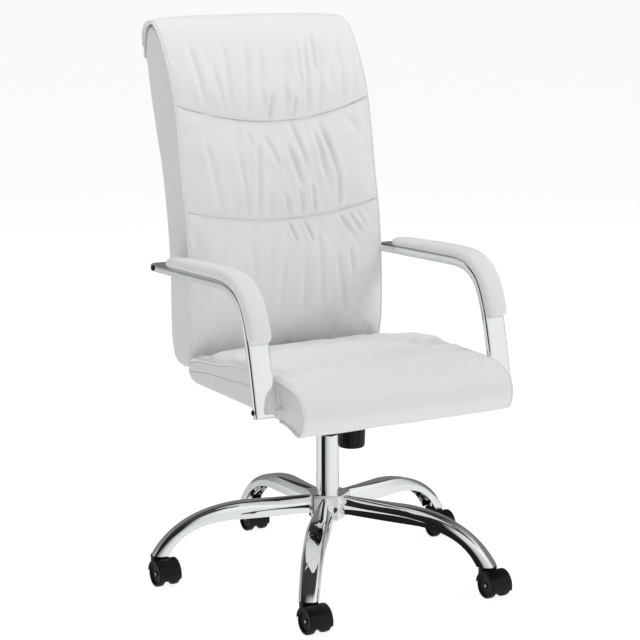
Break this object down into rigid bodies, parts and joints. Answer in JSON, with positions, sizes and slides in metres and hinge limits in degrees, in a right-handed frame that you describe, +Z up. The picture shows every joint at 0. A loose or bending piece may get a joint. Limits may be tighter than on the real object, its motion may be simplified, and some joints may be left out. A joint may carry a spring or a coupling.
{
  "type": "swivel office chair",
  "caption": "High-back swivel chair with padded seat and back, tube arms, gas lift, tilt mechanism and a five-leg caster base.",
  "frame": {"origin": "on the floor under the middle of the chair's outline; the gas lift's axis is 29 mm ahead of it, towards -Y", "axes": "+Z up, the chair faces -Y, +X is the sitter's left"},
  "size_m": [0.7574, 0.7629, 1.2],
  "materials": {
    "chrome": "mirror-polished chrome plate on steel",
    "white_leather": "smooth satin white synthetic leather",
    "black_plastic": "satin black moulded nylon",
    "wheel_tread": "satin black nylon wheels",
    "black_steel": "black powder-coated steel",
    "plated_steel": "zinc-plated steel",
    "pale_plastic": "pale moulded end plugs",
    "plywood": "raw birch plywood"
  },
  "bodies": {
    "base": {"base_star": "chrome", "column_tube": "chrome", "guide_bush": "black_plastic", "thrust_bearing": "plated_steel", "caster_stem_front_right": "plated_steel", "caster_stem_front_left": "plated_steel", "caster_stem_left": "plated_steel", "caster_stem_rear": "plated_steel", "caster_stem_right": "plated_steel"},
    "caster_front_right": {"caster_housing_front_right": "black_plastic", "caster_axle_front_right": "plated_steel"},
    "wheel_front_right_left": {"caster_wheel_front_right_left": "wheel_tread"},
    "wheel_front_right_right": {"caster_wheel_front_right_right": "wheel_tread"},
    "caster_front_left": {"caster_housing_front_left": "black_plastic", "caster_axle_front_left": "plated_steel"},
    "wheel_front_left_left": {"caster_wheel_front_left_left": "wheel_tread"},
    "wheel_front_left_right": {"caster_wheel_front_left_right": "wheel_tread"},
    "caster_left": {"caster_housing_left": "black_plastic", "caster_axle_left": "plated_steel"},
    "wheel_left_left": {"caster_wheel_left_left": "wheel_tread"},
    "wheel_left_right": {"caster_wheel_left_right": "wheel_tread"},
    "caster_rear": {"caster_housing_rear": "black_plastic", "caster_axle_rear": "plated_steel"},
    "wheel_rear_left": {"caster_wheel_rear_left": "wheel_tread"},
    "wheel_rear_right": {"caster_wheel_rear_right": "wheel_tread"},
    "caster_right": {"caster_housing_right": "black_plastic", "caster_axle_right": "plated_steel"},
    "wheel_right_left": {"caster_wheel_right_left": "wheel_tread"},
    "wheel_right_right": {"caster_wheel_right_right": "wheel_tread"},
    "rod": {"piston_rod": "plated_steel", "retaining_clip": "plated_steel"},
    "lift": {"gas_cylinder": "black_steel", "tilt_chassis": "black_steel", "tilt_shaft": "plated_steel"},
    "release_pin": {"release_pin": "plated_steel"},
    "lever_pivot": {"lever_bush": "black_plastic"},
    "lever": {"lever_rod": "plated_steel", "lever_handle": "black_plastic"},
    "tension": {"tension_bolt": "plated_steel", "tension_spring": "plated_steel"},
    "knob": {"tension_knob": "black_plastic"},
    "upper": {"top_plate": "black_steel", "seat_board": "plywood", "seat_cushion": "white_leather", "back_board": "plywood", "rear_panel": "white_leather", "back_cushion": "white_leather", "back_bracket": "black_steel", "arm_tube_left": "chrome", "arm_pad_left": "white_leather", "arm_plug_rear_left": "pale_plastic", "arm_plug_front_left": "pale_plastic", "arm_bolt_rear_left": "black_steel", "arm_bolt_front_left": "black_steel", "arm_tube_right": "chrome", "arm_pad_right": "white_leather", "arm_plug_rear_right": "pale_plastic", "arm_plug_front_right": "pale_plastic", "arm_bolt_rear_right": "black_steel", "arm_bolt_front_right": "black_steel"}
  },
  "joints": [
    {"name": "caster_swivel_front_right", "type": "hinge", "parent": "base", "child": "caster_front_right", "pos_m": [-0.21795, -0.32898, 0.045], "axis": [0, 0, 1], "continuous": true},
    {"name": "wheel_roll_front_right_left", "type": "hinge", "parent": "caster_front_right", "child": "wheel_front_right_left", "pos_m": [-0.20045, -0.35398, 0.0272], "axis": [1, 0, 0], "continuous": true},
    {"name": "wheel_roll_front_right_right", "type": "hinge", "parent": "caster_front_right", "child": "wheel_front_right_right", "pos_m": [-0.23545, -0.35398, 0.0272], "axis": [1, 0, 0], "continuous": true},
    {"name": "caster_swivel_front_left", "type": "hinge", "parent": "base", "child": "caster_front_left", "pos_m": [0.21795, -0.32898, 0.045], "axis": [0, 0, 1], "continuous": true},
    {"name": "wheel_roll_front_left_left", "type": "hinge", "parent": "caster_front_left", "child": "wheel_front_left_left", "pos_m": [0.23545, -0.35398, 0.0272], "axis": [1, 0, 0], "continuous": true},
    {"name": "wheel_roll_front_left_right", "type": "hinge", "parent": "caster_front_left", "child": "wheel_front_left_right", "pos_m": [0.20045, -0.35398, 0.0272], "axis": [1, 0, 0], "continuous": true},
    {"name": "caster_swivel_left", "type": "hinge", "parent": "base", "child": "caster_left", "pos_m": [0.35265, 0.08558, 0.045], "axis": [0, 0, 1], "continuous": true},
    {"name": "wheel_roll_left_left", "type": "hinge", "parent": "caster_left", "child": "wheel_left_left", "pos_m": [0.37015, 0.06058, 0.0272], "axis": [1, 0, 0], "continuous": true},
    {"name": "wheel_roll_left_right", "type": "hinge", "parent": "caster_left", "child": "wheel_left_right", "pos_m": [0.33515, 0.06058, 0.0272], "axis": [1, 0, 0], "continuous": true},
    {"name": "caster_swivel_rear", "type": "hinge", "parent": "base", "child": "caster_rear", "pos_m": [0, 0.3418, 0.045], "axis": [0, 0, 1], "continuous": true},
    {"name": "wheel_roll_rear_left", "type": "hinge", "parent": "caster_rear", "child": "wheel_rear_left", "pos_m": [0.0175, 0.3168, 0.0272], "axis": [1, 0, 0], "continuous": true},
    {"name": "wheel_roll_rear_right", "type": "hinge", "parent": "caster_rear", "child": "wheel_rear_right", "pos_m": [-0.0175, 0.3168, 0.0272], "axis": [1, 0, 0], "continuous": true},
    {"name": "caster_swivel_right", "type": "hinge", "parent": "base", "child": "caster_right", "pos_m": [-0.35265, 0.08558, 0.045], "axis": [0, 0, 1], "continuous": true},
    {"name": "wheel_roll_right_left", "type": "hinge", "parent": "caster_right", "child": "wheel_right_left", "pos_m": [-0.33515, 0.06058, 0.0272], "axis": [1, 0, 0], "continuous": true},
    {"name": "wheel_roll_right_right", "type": "hinge", "parent": "caster_right", "child": "wheel_right_right", "pos_m": [-0.37015, 0.06058, 0.0272], "axis": [1, 0, 0], "continuous": true},
    {"name": "seat_swivel", "type": "hinge", "parent": "base", "child": "rod", "pos_m": [0, -0.029, 0.2], "axis": [0, 0, 1], "continuous": true},
    {"name": "seat_height", "type": "slide", "parent": "rod", "child": "lift", "axis": [0, 0, 1], "range_m": [-0.03, 0.06]},
    {"name": "release_pin_press", "type": "slide", "parent": "lift", "child": "release_pin", "axis": [0, 0, -1], "range_m": [0, 0.0034]},
    {"name": "lever_lift", "type": "hinge", "parent": "lift", "child": "lever_pivot", "pos_m": [-0.0465, -0.029, 0.3887], "axis": [0, 1, 0], "range_deg": [0, 4], "stiffness_Nm_per_rad": 1, "springref_deg": -20.05},
    {"name": "tilt_lock", "type": "slide", "parent": "lever_pivot", "child": "lever", "axis": [-1, 0, 0], "range_m": [0, 0.008]},
    {"name": "tension_travel", "type": "slide", "parent": "lift", "child": "tension", "axis": [0, 0, 1], "range_m": [0, 0.0106], "deforming": ["tension_spring"]},
    {"name": "tension_turn", "type": "hinge", "parent": "tension", "child": "knob", "pos_m": [0, -0.129, 0.33], "axis": [0, 0, 1], "range_deg": [-360, 360]},
    {"name": "seat_tilt", "type": "hinge", "parent": "lift", "child": "upper", "pos_m": [0, -0.089, 0.38], "axis": [-1, 0, 0], "range_deg": [0, 12], "stiffness_Nm_per_rad": 70, "springref_deg": -22.92}
  ],
  "couplings": [
    {"joint": "release_pin_press", "follows": "lever_lift", "m_per_rad": 0.0465},
    {"joint": "tension_travel", "follows": "seat_tilt", "m_per_rad": 0.05}
  ]
}
